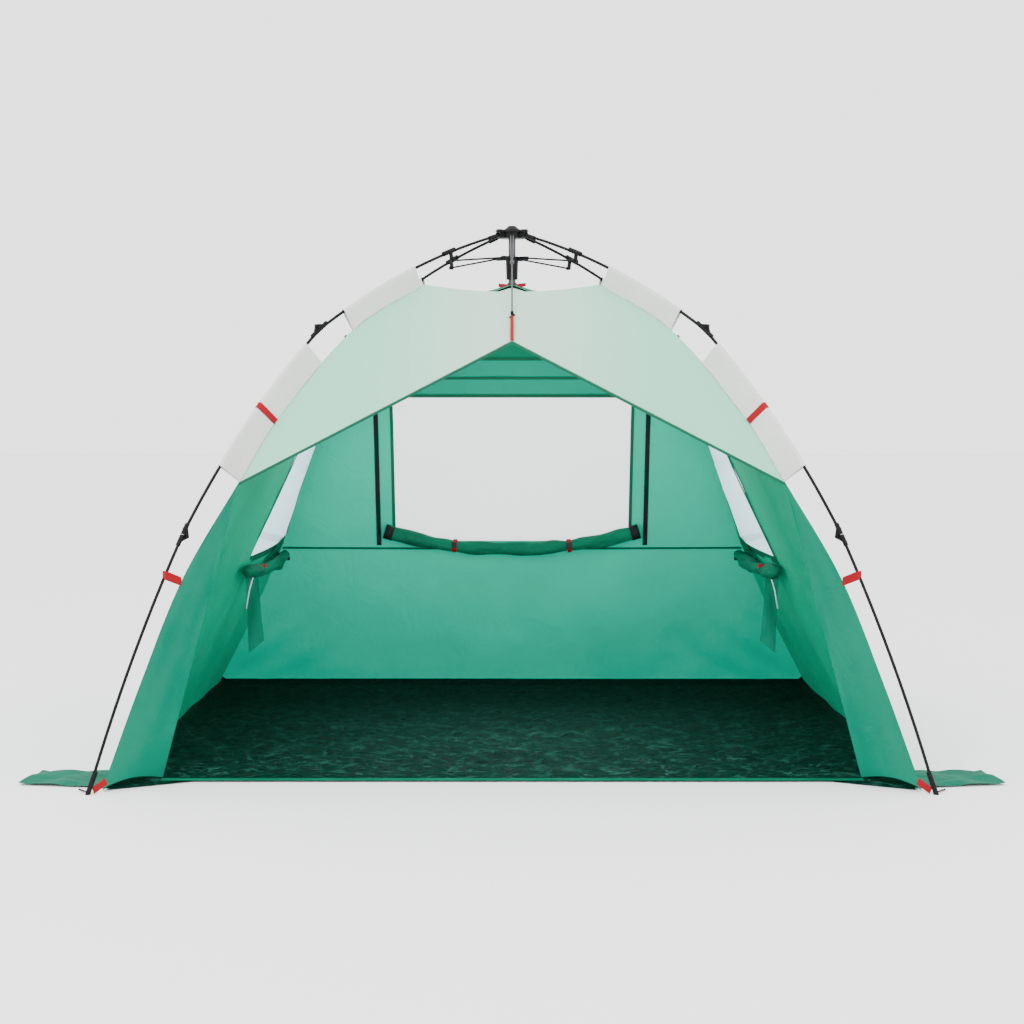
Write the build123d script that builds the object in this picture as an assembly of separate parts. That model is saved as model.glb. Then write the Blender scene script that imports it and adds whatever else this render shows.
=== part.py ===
from build123d import *
from math import atan2, cos, degrees, hypot, pi, radians, sin
import os

# Automatic beach tent: a hub with four jointed legs, and the canopy that hangs inside them.
# Millimetres. +Z is up, the doorway faces -Y, and the origin is on the ground under the hub.

# Footprint of the frame
SPAN_X = 2400
SPAN_Y = 2000
LEG_AZIMUTH = degrees(atan2(SPAN_Y, SPAN_X))
COS_LEG = cos(radians(LEG_AZIMUTH))
SIN_LEG = sin(radians(LEG_AZIMUTH))
CORNERS = {
    "front_left": (-1, -1),
    "front_right": (1, -1),
    "rear_left": (-1, 1),
    "rear_right": (1, 1),
}

# A leg in its own plane: distance from the hub axis, then height
HUB_PIVOT = (53, 1668)
UPPER_START = (66, 1664)
UPPER_BOW = (386, 1550)
ELBOW_1 = (773, 1337)
MIDDLE_BOW = (1030, 1055)
ELBOW_2 = (1257.5, 726.5)
LOWER_BOW = (1430, 365)
FOOT_END = (1560, 31)
FOOT_TIP = (1576, -8)
ELBOW_1_SLOPE = 39.4
ELBOW_2_SLOPE = 61.6
POLE_R = 4.75

# Sleeves: start and end as shares of a pole's length, and how far they hang below it
UPPER_SLEEVE = (0.47, 0.86, 44)
MIDDLE_SLEEVE = (0.09, 0.66, 60)

# Elbow fittings
ELBOW_OFFSET = 14
ELBOW_HALF_GAP = 1.5
COLLAR_R = 7
COLLAR_L = 34
TONGUE_T = 6
CHEEK_IN = 3.4
CHEEK_T = 3
LUG_R = 6
RIVET_R = 2.5
RIVET_HOLE_R = 2.58
RIVET_HEAD_R = 4.4
RIVET_HEAD_T = 1.6

# Hub and its pins
HUB_R = 38
HUB_LOW = 1658
HUB_TOP = 1678
HUB_EAR_IN = 6.4
HUB_EAR_T = 2.4
HUB_EAR_R = 8.5
HUB_PIN_R = 2
HUB_PIN_HOLE_R = 2.08
CAP_R = 44
CAP_LOBE_R = 15
CAP_SKIRT = 8
CAP_TOP = 1700
SOCKET_R = 6
SOCKET_SLEEVE_R = 7.4
SOCKET_L = 48
SOCKET_SLOPE = 17.5
KNUCKLE_R = 7
CAP_DOME = (28, 12)

# Post and runner
POST_R = 12
POST_LOW = 1504
POST_IN_HUB = 1668
STOP_R = 16
STOP_T = 7
RUNNER_LOW = 1522
RUNNER_TOP = 1598
RUNNER_R = 21.5
RUNNER_LOW_R = 19
RUNNER_BORE_R = 12.08
ARM_PIVOT = (52, 1592)
ARM_R = 6
ARM_T = 1.9
BUTTON_Z = 1552
BUTTON_R = 5
BUTTON_HOLE_R = 5.1
BUTTON_FACE = 24.5
BUTTON_INNER = 15.8
SPRING_R = 3.2

# Struts, side by side with the legs
STRUT_SIDE = 14.6
STRUT_R = 3
STRUT_EYE_R = 6
BRACKET_PIVOT = (262, 1572)
BRACKET_SPAN = ((244, 1609.5), (291, 1591.5))
BRACKET_R = 8
TAB_IN = 5.2
TAB_OUT = 11.2

# Foot and corner pin
FOOT_R = 7.5
FOOT_L = 34
FOOT_SLOPE = 67.7
CORNER_PIN = ((1569, 2, 5), (1566, 68, 2.6))
CORNER_PIN_R = 2.4

# Canopy: the corner seams, as distance from the hub axis and height
CLOTH_T = 1.2
CLOTH_LIFT = 12
FRONT_SEAM = ((367, 1491), (627, 1355), (921, 1071), (1066, 874), (1256, 603), (1397, 311), (1521, 24))
REAR_SEAM = ((367, 1491), (612, 1345), (872, 1071), (985, 874), (1118, 603), (1300, 290), (1487, 24))
WALL_SAG = 90
REAR_SAG = 40
RIDGE_Z = 1492
SEAM_GAP = 0.008
PEAK = (0, -620, 1298)
ROOF_FRONT = (0, -300, 1464)
DOOR_APEX = (818, -682, 874)
DOOR_BASE = (1030, -820, CLOTH_LIFT)
SHEET_FRONT_Y = -830
GROUND_CORNER_FRONT = (1150, -952)
GROUND_CORNER_REAR = (1128, 938)
FLAP = ((1156, -800), (1200, -898), (1346, -902), (1451, -876), (1420, -709), (1242, -650), (1156, -700))

# Windows: width or depth limits and heights
REAR_WINDOW_HALF = 437
WINDOW_LOW = 590
REAR_WINDOW_TOP = 1133
SIDE_WINDOW_Y = (-230, 520)
SIDE_WINDOW_TOP = 1090
WINDOW_GAP = 0.4
ZIP_X = 500
ZIP_START = 606
ZIP_BODY = (9, 5, 14)
ZIP_TAB = (6, 1.6, 26)
ROLL_R = 27
ROLL_HALF = 475
ROLL_END_Z = 626
ROLL_MIDDLE_Z = 562
SIDE_ROLL_R = 24
SIDE_ROLL_END_Z = 604
SIDE_ROLL_MIDDLE_Z = 556

# Hanger from the hub to the doorway peak
HANGER_TOP = (0, -41, 1664)
HOOK = (0, -470, 1389)
CORD_R = 1.6
HOOK_R = 4
HOOK_L = 34
LOOP_W = 10
LOOP_T = 2
LOOP_END_GAP = 24


def seam_at(seam, z):
    """Distance of a corner seam from the hub axis at a height."""
    for (r0, z0), (r1, z1) in zip(seam, seam[1:]):
        if z >= z1:
            return r0 + (r1 - r0) * (z0 - z) / (z0 - z1)
    return seam[-1][0]


def swell(z):
    """0 at the ground and at the roof, 1 half way up."""
    return sin(pi * min(max(z / RIDGE_Z, 0), 1))


def side_wall(side, z, v):
    """A point on a side wall: v runs from the front seam, 0, to the rear seam, 1."""
    front = seam_at(FRONT_SEAM, z)
    rear = seam_at(REAR_SEAM, z)
    sag = WALL_SAG * swell(z) * 4 * v * (1 - v)
    x = COS_LEG * (front * (1 - v) + rear * v) - sag
    y = SIN_LEG * (rear * v - front * (1 - v))
    return (side * x, y, z)


def rear_wall(z, v):
    """A point on the rear wall: v runs from the left seam, -1, to the right seam, 1."""
    rear = seam_at(REAR_SEAM, z)
    return (COS_LEG * rear * v, SIN_LEG * rear - REAR_SAG * swell(z) * (1 - v * v), z)


def lerp(a, b, t):
    return tuple(p + (q - p) * t for p, q in zip(a, b))


def front_panel(u, v):
    """A point on the front canopy: u from the roof edge, 0, to the doorway edge, 1; v from -1 to 1."""
    top_r, top_z = FRONT_SEAM[0]
    side = (COS_LEG * top_r, -SIN_LEG * top_r, top_z)
    w = abs(v)
    top = tuple(p + (q - p) * w**2 for p, q in zip(ROOF_FRONT, side))
    top = (side[0] * w, top[1], top[2])
    low = lerp(PEAK, DOOR_APEX, w)
    x, y, z = lerp(top, low, u)
    edge = lerp(side, DOOR_APEX, u)
    r = seam_at(FRONT_SEAM, edge[2])
    x += (COS_LEG * r - edge[0]) * w**2
    y += (-SIN_LEG * r - edge[1]) * w**2
    return (x if v > 0 else -x, y, z)


def steps(start, end, count):
    return [start + (end - start) * i / (count - 1) for i in range(count)]


def cloth(rows, thickness=CLOTH_T):
    """A closed sheet through a grid of points, given as rows of equal length."""
    m = len(rows)
    n = len(rows[0])
    grid = [[Vector(*p) for p in row] for row in rows]
    outer = []
    inner = []
    for i in range(m):
        outer.append([])
        inner.append([])
        for j in range(n):
            along = grid[i][min(j + 1, n - 1)] - grid[i][max(j - 1, 0)]
            down = grid[min(i + 1, m - 1)][j] - grid[max(i - 1, 0)][j]
            normal = along.cross(down).normalized() * (thickness / 2)
            outer[i].append(grid[i][j] + normal)
            inner[i].append(grid[i][j] - normal)
    faces = []

    def triangle(a, b, c):
        faces.append(Face(Wire.make_polygon([a, b, c], close=True)))

    def quad(a, b, c, d):
        triangle(a, b, c)
        triangle(a, c, d)

    for i in range(m - 1):
        for j in range(n - 1):
            for side in (outer, inner):
                quad(side[i][j], side[i][j + 1], side[i + 1][j + 1], side[i + 1][j])
    rim = [(i, 0) for i in range(m)] + [(m - 1, j) for j in range(1, n)]
    rim += [(i, n - 1) for i in range(m - 2, -1, -1)] + [(0, j) for j in range(n - 2, -1, -1)]
    for (i, j), (k, l) in zip(rim, rim[1:]):
        quad(outer[i][j], outer[k][l], inner[k][l], inner[i][j])
    return Solid(Shell(faces))


def plate(outline, thickness):
    """A flat sheet on the ground, from an outline seen from above."""
    return extrude(make_face(Polyline(*outline, close=True)), thickness)


def rod(start, end, radius):
    start = Vector(*start)
    run = Vector(*end) - start
    place = Plane(origin=start, z_dir=run)
    return place * Cylinder(radius, run.length, align=(Align.CENTER, Align.CENTER, Align.MIN))


def sweep_round(path, radius):
    return sweep(Plane(origin=path @ 0, z_dir=path % 0) * Circle(radius), path=path)


def in_leg(point, side=0):
    """A point of the leg's plane, as x along the leg, y across it and z up."""
    return (point[0], side, point[1])


def leg_arc(start, bow, end, radius=POLE_R):
    return sweep_round(ThreePointArc(in_leg(start), in_leg(bow), in_leg(end)), radius)


def across(point, radius, low, high):
    """A cylinder across the leg's plane, from one side distance to another."""
    return rod(in_leg(point, low), in_leg(point, high), radius)


def lug(start, end, radius, low, high):
    """A flat plate with round ends across the leg's plane."""
    run = Vector(end[0] - start[0], end[1] - start[1])
    turn = degrees(atan2(run.Y, run.X))
    middle = ((start[0] + end[0]) / 2, 0, (start[1] + end[1]) / 2)
    sketch = SlotCenterToCenter(run.length, 2 * radius, rotation=turn)
    place = Plane(origin=middle, x_dir=(1, 0, 0), z_dir=(0, -1, 0))
    return extrude(place.offset(-low) * sketch, low - high)


def place_leg(shape, corner):
    sx, sy = CORNERS[corner]
    return shape.rotate(Axis.Z, degrees(atan2(sy * SPAN_Y, sx * SPAN_X)))


def along(point, slope, distance):
    """The point at a distance down a slope, in the leg's plane."""
    return (
        point[0] + distance * cos(radians(slope)),
        point[1] - distance * sin(radians(slope)),
    )


def elbow_pivot(middle, slope, side):
    """The rivet's centre: outside the bend for side 1, inside it for side -1."""
    return (
        middle[0] + side * ELBOW_OFFSET * sin(radians(slope)),
        middle[1] + side * ELBOW_OFFSET * cos(radians(slope)),
    )


def elbow_half(middle, slope, pivot, way, forked):
    """One half of an elbow: a collar on the pole end, and cheeks or a tongue to the rivet."""
    near = along(middle, slope, way * ELBOW_HALF_GAP)
    far = along(near, slope, way * COLLAR_L)
    root = along(near, slope, way * COLLAR_L / 2)
    half = rod(in_leg(near), in_leg(far), COLLAR_R)
    if forked:
        for low in (CHEEK_IN, -CHEEK_IN - CHEEK_T):
            half += lug(pivot, root, LUG_R, low, low + CHEEK_T)
        return half - across(pivot, RIVET_R, -20, 20)
    half += lug(pivot, root, LUG_R, -TONGUE_T / 2, TONGUE_T / 2)
    return half - across(pivot, RIVET_HOLE_R, -20, 20)


def rivet(pivot):
    reach = CHEEK_IN + CHEEK_T
    pin = across(pivot, RIVET_R, -reach, reach)
    pin += across(pivot, RIVET_HEAD_R, reach, reach + RIVET_HEAD_T)
    pin += across(pivot, RIVET_HEAD_R, -reach - RIVET_HEAD_T, -reach)
    return pin


PIVOT_1 = elbow_pivot(ELBOW_1, ELBOW_1_SLOPE, 1)
PIVOT_2 = elbow_pivot(ELBOW_2, ELBOW_2_SLOPE, -1)
UPPER_END = along(ELBOW_1, ELBOW_1_SLOPE, -ELBOW_HALF_GAP)
MIDDLE_START = along(ELBOW_1, ELBOW_1_SLOPE, ELBOW_HALF_GAP)
MIDDLE_END = along(ELBOW_2, ELBOW_2_SLOPE, -ELBOW_HALF_GAP)
LOWER_START = along(ELBOW_2, ELBOW_2_SLOPE, ELBOW_HALF_GAP)


def upper_pole():
    return leg_arc(UPPER_START, UPPER_BOW, UPPER_END)


def middle_pole():
    return leg_arc(MIDDLE_START, MIDDLE_BOW, MIDDLE_END)


def lower_pole():
    return leg_arc(LOWER_START, LOWER_BOW, FOOT_END)


def pole_socket():
    """The knuckle between the hub's ears, and the socket that holds the upper pole."""
    near = along(HUB_PIVOT, SOCKET_SLOPE, 2 * KNUCKLE_R)
    far = along(HUB_PIVOT, SOCKET_SLOPE, SOCKET_L)
    knuckle = across(HUB_PIVOT, KNUCKLE_R, -SOCKET_R, SOCKET_R)
    knuckle += rod(in_leg(HUB_PIVOT), in_leg(far), SOCKET_R)
    knuckle += rod(in_leg(near), in_leg(far), SOCKET_SLEEVE_R)
    return knuckle - across(HUB_PIVOT, HUB_PIN_HOLE_R, -20, 20) - upper_pole()


def upper_fittings():
    """The bracket that the strut joins, and the forked half of the upper elbow with its rivet."""
    bracket = rod(in_leg(BRACKET_SPAN[0]), in_leg(BRACKET_SPAN[1]), BRACKET_R)
    above = (BRACKET_PIVOT[0] + 4, BRACKET_PIVOT[1] + 28)
    bracket += lug(BRACKET_PIVOT, above, LUG_R, TAB_IN, TAB_OUT)
    bracket -= across(BRACKET_PIVOT, RIVET_HOLE_R, 0, 20)
    bracket -= upper_pole()
    fork = elbow_half(ELBOW_1, ELBOW_1_SLOPE, PIVOT_1, -1, True) - upper_pole()
    return [bracket, fork, rivet(PIVOT_1)]


def middle_elbows():
    """The tongue of the upper elbow, and the forked half of the lower elbow with its rivet."""
    tongue = elbow_half(ELBOW_1, ELBOW_1_SLOPE, PIVOT_1, 1, False) - middle_pole()
    fork = elbow_half(ELBOW_2, ELBOW_2_SLOPE, PIVOT_2, -1, True) - middle_pole()
    return [tongue, fork, rivet(PIVOT_2)]


def lower_fittings(corner):
    """The tongue of the lower elbow, the foot and the corner pin that lies on the ground."""
    sx, sy = CORNERS[corner]
    tongue = elbow_half(ELBOW_2, ELBOW_2_SLOPE, PIVOT_2, 1, False) - lower_pole()
    foot = rod(in_leg(along(FOOT_END, FOOT_SLOPE, -FOOT_L)), in_leg(FOOT_TIP), FOOT_R)
    ground = Box(200, 200, 100, align=(Align.CENTER, Align.CENTER, Align.MAX))
    foot = foot - Pos(FOOT_END[0], 0, 0) * ground - lower_pole()
    start, end = [(r, -sx * sy * side, z) for r, side, z in CORNER_PIN]
    foot += rod(start, end, CORNER_PIN_R)
    return [tongue, foot]


def strut():
    """A rod beside the leg, with an eye at each end; the far end carries the rivet's head."""
    start = in_leg(ARM_PIVOT, STRUT_SIDE)
    end = in_leg(BRACKET_PIVOT, STRUT_SIDE)
    inner = STRUT_SIDE - STRUT_R
    outer = STRUT_SIDE + STRUT_R
    bar = rod(start, end, STRUT_R)
    bar += across(ARM_PIVOT, STRUT_EYE_R, inner, outer)
    bar += across(BRACKET_PIVOT, STRUT_EYE_R, inner, outer)
    bar += across(BRACKET_PIVOT, RIVET_HEAD_R, outer, outer + RIVET_HEAD_T)
    return bar - across(ARM_PIVOT, HUB_PIN_HOLE_R, 0, 30)


def sleeve(start, bow, end, first, last, drop):
    """A flat sewn sleeve below a pole, from one share of its length to another."""
    arc = ThreePointArc(in_leg(start), in_leg(bow), in_leg(end))
    rows = []
    for t in steps(first, last, 5):
        point = arc @ t
        slope = arc % t
        inward = Vector(slope.Z, 0, -slope.X)
        if inward.Z > 0:
            inward = -inward
        rows.append([tuple(point + inward * d) for d in (POLE_R + 1.4, POLE_R + 1.4 + drop)])
    return cloth(rows, 2)


def hub_body():
    body = rod((0, 0, HUB_LOW), (0, 0, HUB_TOP), HUB_R)
    outer = HUB_EAR_IN + HUB_EAR_T
    for corner in CORNERS:
        for low in (HUB_EAR_IN, -outer):
            ear = lug((30, HUB_PIVOT[1]), HUB_PIVOT, HUB_EAR_R, low, low + HUB_EAR_T)
            body += place_leg(ear - across(HUB_PIVOT, HUB_PIN_R, -30, 30), corner)
    return body - rod((0, 0, HUB_LOW - 1), (0, 0, POST_IN_HUB), POST_R)


def hub_pins():
    reach = HUB_EAR_IN + HUB_EAR_T
    return [place_leg(across(HUB_PIVOT, HUB_PIN_R, -reach, reach), corner) for corner in CORNERS]


def hub_cap():
    """A central dome with a tapered lobe over each leg's pin."""
    standing = (Align.CENTER, Align.CENTER, Align.MIN)
    cap = Cone(CAP_R, CAP_R - 4, CAP_SKIRT, align=standing)
    cap += Pos(0, 0, CAP_SKIRT) * Cone(*CAP_DOME, CAP_TOP - HUB_TOP - CAP_SKIRT, align=standing)
    for corner in CORNERS:
        lobe = Pos(HUB_PIVOT[0], 0, 0) * Cone(CAP_LOBE_R, CAP_LOBE_R - 4, CAP_SKIRT, align=standing)
        cap += place_leg(lobe, corner)
    return Pos(0, 0, HUB_TOP) * cap


def centre_post():
    post = rod((0, 0, POST_LOW), (0, 0, POST_IN_HUB), POST_R)
    return post + rod((0, 0, POST_LOW), (0, 0, POST_LOW + STOP_T), STOP_R)


def runner():
    """The sliding barrel, with a forked arm beside each leg."""
    standing = (Align.CENTER, Align.CENTER, Align.MIN)
    height = RUNNER_TOP - RUNNER_LOW
    barrel = Pos(0, 0, RUNNER_LOW) * Cone(RUNNER_LOW_R, RUNNER_R, height, align=standing)
    root = (14, ARM_PIVOT[1])
    gap = 0.4
    inner = STRUT_SIDE - STRUT_R - gap
    outer = STRUT_SIDE + STRUT_R + gap
    for corner in CORNERS:
        arm = lug(root, ARM_PIVOT, ARM_R, inner - ARM_T, inner)
        arm += lug(root, ARM_PIVOT, ARM_R, outer, outer + ARM_T)
        arm -= across(ARM_PIVOT, HUB_PIN_R, 0, 40)
        barrel += place_leg(arm, corner)
    barrel -= rod((0, 0, RUNNER_LOW - 1), (0, 0, RUNNER_TOP + 1), RUNNER_BORE_R)
    barrel -= rod((0, -14.2, BUTTON_Z), (0, -30, BUTTON_Z), BUTTON_HOLE_R)
    pin = across(ARM_PIVOT, HUB_PIN_R, inner - ARM_T, outer + ARM_T)
    return [barrel] + [place_leg(pin, corner) for corner in CORNERS]


def lock_button():
    button = rod((0, -BUTTON_INNER - 2.6, BUTTON_Z), (0, -BUTTON_FACE, BUTTON_Z), BUTTON_R)
    return fillet(button.edges().sort_by(Axis.Y)[0], 1)


def front_canopy():
    rows = [[(COS_LEG * 367 * v, -4, RIDGE_Z) for v in steps(-0.97, 0.97, 9)]]
    limit = 1 - SEAM_GAP
    for u in (0, 0.2, 0.45, 0.7, 1):
        rows.append([front_panel(u, v) for v in steps(-limit, limit, 9)])
    return cloth(rows)


def window_block(side):
    """The space that a side window cuts through its wall."""
    low, high = SIDE_WINDOW_Y
    size = (1000, high - low, SIDE_WINDOW_TOP - WINDOW_LOW)
    centre = (side * 900, (low + high) / 2, (WINDOW_LOW + SIDE_WINDOW_TOP) / 2)
    return centre, size


def cut_window(wall, centre, size):
    """The wall with its window opening, and the window panel that fills it."""
    opening = Pos(*centre) * Box(*size)
    pane = Pos(*centre) * Box(*[s - 2 * WINDOW_GAP for s in size])
    return wall - opening, wall & pane


def wall_sheet(side):
    heights = [1488, 1355, 1200, 1071, 874, 603, 311, CLOTH_LIFT]
    shares = (SEAM_GAP, 0.17, 0.34, 0.5, 0.66, 0.83, 1 - SEAM_GAP)
    return cloth([[side_wall(side, z, v) for v in shares] for z in heights])


def wing(side):
    """The front panel between the corner seam and the doorway."""
    rows = []
    for z in (850, 603, 311, CLOTH_LIFT):
        t = (DOOR_APEX[2] - z) / (DOOR_APEX[2] - CLOTH_LIFT)
        inner = lerp(DOOR_APEX, DOOR_BASE, t)
        r = seam_at(FRONT_SEAM, z)
        seam = (COS_LEG * r, -SIN_LEG * r - 3, z)
        rows.append([(side * p[0], p[1], z) for p in (lerp(seam, inner, 0), lerp(seam, inner, 0.5), inner)])
    return cloth(rows)


def rear_sheet():
    limit = 1 - SEAM_GAP
    rows = [[(COS_LEG * 367 * v, 4, RIDGE_Z) for v in steps(-0.97, 0.97, 9)]]
    for z in (1488, 1355, 1200, 1071, 874, 603, 311, CLOTH_LIFT):
        rows.append([rear_wall(z, v) for v in steps(-limit, limit, 9)])
    return cloth(rows)


def rear_roll():
    depth = rear_wall(WINDOW_LOW - 20, 0)[1] - ROLL_R - 15
    start, end = [(side * ROLL_HALF, depth - 4, ROLL_END_Z) for side in (-1, 1)]
    path = ThreePointArc(start, (0, depth, ROLL_MIDDLE_Z), end)
    return sweep_round(path, ROLL_R)


def side_roll(side):
    low, high = SIDE_WINDOW_Y
    x = abs(side_wall(1, WINDOW_LOW, 0.5)[0]) - SIDE_ROLL_R - 16
    front = (side * (x + 18), low, SIDE_ROLL_END_Z)
    middle = (side * x, (low + high) / 2, SIDE_ROLL_MIDDLE_Z)
    rear = (side * (x - 30), high, SIDE_ROLL_END_Z)
    path = ThreePointArc(front, middle, rear)
    return sweep_round(path, SIDE_ROLL_R)


def zip_slider(side):
    """The slider body on the zip's track, and its pull tab."""
    x = side * ZIP_X
    y = rear_wall(ZIP_START, 0.6)[1] - 9
    body = Pos(x, y, ZIP_START) * Box(*ZIP_BODY)
    body = fillet(body.edges().filter_by(Axis.Y), 2)
    step = (ZIP_BODY[1] + ZIP_TAB[1]) / 2 - 0.2
    tab = Pos(x, y - step, ZIP_START - 12) * Box(*ZIP_TAB)
    return body + tab


def groundsheet(side):
    front_x, front_y = GROUND_CORNER_FRONT
    rear_x, rear_y = GROUND_CORNER_REAR
    outline = [
        (side, SHEET_FRONT_Y),
        (side * DOOR_BASE[0], SHEET_FRONT_Y),
        (side * front_x, front_y),
        (side * rear_x, rear_y),
        (side, rear_y),
    ]
    return [plate(outline, CLOTH_T), plate([(side * x, y) for x, y in FLAP], CLOTH_T)]


def hanger_cord():
    return rod(HANGER_TOP, HOOK, CORD_R)


def hanger_hook():
    """A small hook under the cord, and the webbing loop from it to the doorway peak."""
    run = (Vector(*PEAK) - Vector(*HOOK)).normalized()
    start = Vector(*HOOK) + run * 0.5
    end = start + run * HOOK_L
    hook = rod(start, end, HOOK_R)
    loop_end = Vector(*PEAK) - run * LOOP_END_GAP
    middle = (end + loop_end) / 2
    place = Plane(origin=middle, x_dir=(1, 0, 0), z_dir=run)
    loop = place * Box(LOOP_W, LOOP_T, (loop_end - end).length)
    return [hook, loop]


def write(name, shape):
    """Write one sub-part; a list is a group of separate solids."""
    part = Compound(children=list(shape)) if isinstance(shape, (list, tuple)) else shape
    part.label = name
    export_step(part, f"parts/{name}.step")


def solids_of(shape):
    items = shape if isinstance(shape, (list, tuple)) else [shape]
    return [s for item in items for s in item.solids()]


os.makedirs("parts", exist_ok=True)

write("hub_body", [hub_body()] + hub_pins())
write("hub_cap", hub_cap())
write("centre_post", centre_post())
write("runner", runner())
write("lock_button", lock_button())
write("lock_spring", rod((0, -14.4, BUTTON_Z), (0, -BUTTON_INNER - 2.4, BUTTON_Z), SPRING_R))

for corner in CORNERS:
    write(f"pole_socket_{corner}", place_leg(pole_socket(), corner))
    write(f"upper_pole_{corner}", place_leg(upper_pole(), corner))
    write(f"upper_fittings_{corner}", [place_leg(s, corner) for s in solids_of(upper_fittings())])
    write(f"middle_pole_{corner}", place_leg(middle_pole(), corner))
    write(f"middle_elbows_{corner}", [place_leg(s, corner) for s in solids_of(middle_elbows())])
    write(f"lower_pole_{corner}", place_leg(lower_pole(), corner))
    write(f"lower_fittings_{corner}", [place_leg(s, corner) for s in solids_of(lower_fittings(corner))])
    write(f"strut_{corner}", place_leg(strut(), corner))
    upper_sleeve = sleeve(UPPER_START, UPPER_BOW, UPPER_END, *UPPER_SLEEVE)
    write(f"upper_sleeve_{corner}", place_leg(upper_sleeve, corner))
    middle_sleeve = sleeve(MIDDLE_START, MIDDLE_BOW, MIDDLE_END, *MIDDLE_SLEEVE)
    write(f"middle_sleeve_{corner}", place_leg(middle_sleeve, corner))

rear, rear_pane = cut_window(
    rear_sheet(),
    (0, 800, (WINDOW_LOW + REAR_WINDOW_TOP) / 2),
    (2 * REAR_WINDOW_HALF, 1000, REAR_WINDOW_TOP - WINDOW_LOW),
)
write("rear_wall", rear)
write("rear_window", rear_pane)
write("rear_window_roll", rear_roll())
write("front_canopy", front_canopy())
write("hanger_cord", hanger_cord())
write("hanger_hook", hanger_hook())
for name, side in (("left", -1), ("right", 1)):
    wall, pane = cut_window(wall_sheet(side), *window_block(side))
    write(f"{name}_wall", [wall, wing(side)])
    write(f"{name}_window", [pane, side_roll(side)])
    write(f"groundsheet_{name}", groundsheet(side))
    write(f"zip_slider_{name}", zip_slider(side))
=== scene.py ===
from math import atan2, cos, hypot, pi, radians, sin

import bpy
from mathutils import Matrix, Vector, noise


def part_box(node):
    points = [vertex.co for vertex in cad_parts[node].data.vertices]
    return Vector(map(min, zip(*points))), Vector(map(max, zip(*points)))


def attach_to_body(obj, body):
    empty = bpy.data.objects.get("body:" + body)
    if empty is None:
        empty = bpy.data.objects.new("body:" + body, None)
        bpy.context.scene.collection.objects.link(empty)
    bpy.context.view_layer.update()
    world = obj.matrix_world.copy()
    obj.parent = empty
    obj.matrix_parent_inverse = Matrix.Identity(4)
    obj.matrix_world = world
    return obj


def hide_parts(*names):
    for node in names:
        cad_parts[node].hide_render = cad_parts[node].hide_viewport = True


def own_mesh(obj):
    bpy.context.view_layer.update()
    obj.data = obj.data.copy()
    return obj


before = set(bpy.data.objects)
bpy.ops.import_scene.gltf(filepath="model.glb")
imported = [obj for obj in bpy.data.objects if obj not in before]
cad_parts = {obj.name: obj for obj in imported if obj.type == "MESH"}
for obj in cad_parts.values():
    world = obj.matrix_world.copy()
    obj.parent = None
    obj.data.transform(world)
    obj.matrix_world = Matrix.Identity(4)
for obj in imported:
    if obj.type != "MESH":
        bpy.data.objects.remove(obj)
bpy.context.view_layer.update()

# Frame, as in part.py. A leg stands in the upright plane through its foot: its points are given
# as distance from the hub axis and height, and a pole as the arc through its start, bow and end.
SPAN_X = 2.4
SPAN_Y = 2.0
REACH = hypot(SPAN_X, SPAN_Y)
COS_LEG = SPAN_X / REACH
SIN_LEG = SPAN_Y / REACH
CORNERS = {
    "front_left": (-1, -1),
    "front_right": (1, -1),
    "rear_left": (-1, 1),
    "rear_right": (1, 1),
}
UPPER_POLE = ((0.066, 1.664), (0.386, 1.550), (0.7718, 1.3380))
MIDDLE_POLE = ((0.7742, 1.3360), (1.030, 1.055), (1.2568, 0.7278))
LOWER_POLE = ((1.2582, 0.7252), (1.430, 0.365), (1.560, 0.031))
POLE_R = 0.00475
FOOT = (1.566, 0.012)

# The share of each pole that its sleeve covers, that the red band round the middle sleeve covers,
# and where the red strap holds the lower pole. SLEEVE_GAP is from pole to cloth.
UPPER_SLEEVE = (0.465, 0.865)
MIDDLE_SLEEVE = (0.085, 0.70)
SLEEVE_BAND = (0.398, 0.425)
SLEEVE_GAP = 0.0022
STRAP_SHARE = 0.17

# Canopy, as in part.py, but for WALL_SAG and SIDE_WINDOW_V: there the sag is 0.090 and the window
# starts and ends further forward, and these two follow the photograph. A seam is given as distance
# from the hub axis and height.
FRONT_SEAM = (
    (0.367, 1.491), (0.627, 1.355), (0.921, 1.071), (1.066, 0.874), (1.256, 0.603), (1.397, 0.311),
    (1.521, 0.024),
)
REAR_SEAM = (
    (0.367, 1.491), (0.612, 1.345), (0.872, 1.071), (0.985, 0.874), (1.118, 0.603), (1.300, 0.290),
    (1.487, 0.024),
)
WALL_SAG = 0.050
REAR_SAG = 0.040
RIDGE_Z = 1.492
ROOF_EDGE = RIDGE_Z - 0.001
RIDGE_DIP = 0.024
HEM_Z = 0.010
GROUND_EDGE = 0.002
PEAK = (0, -0.620, 1.298)
ROOF_FRONT = (0, -0.300, 1.464)
DOOR_APEX = (0.818, -0.682, 0.874)
DOOR_BASE = (1.030, -0.820, HEM_Z)
WINDOW_LOW = 0.590
REAR_WINDOW_TOP = 1.133
REAR_WINDOW_HALF = 0.437
SIDE_WINDOW_TOP = 1.090
SIDE_WINDOW_V = (0.45, 0.93)

# The rear wall's seams, its zip tapes and its roll
SEAM_TOP_Z = 1.265
SEAM_MID_Z = 1.197
SEAM_LOW_Z = 0.560
ZIP_X = 0.500
ZIP_TOP = 1.150
ZIP_LOW = 0.572
REAR_ROLL_HALF = 0.475

# Groundsheet, and the flap outside each front corner
SHEET_FRONT_Y = -0.830
SHEET_REAR_Y = 0.949
TUB_HEIGHT = 0.024
TUB_WIDTH = 0.022
FLAP_NEAR = ((1.150, -0.930), (1.150, -0.700))
FLAP_FAR = ((1.440, -0.885), (1.415, -0.700))

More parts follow.
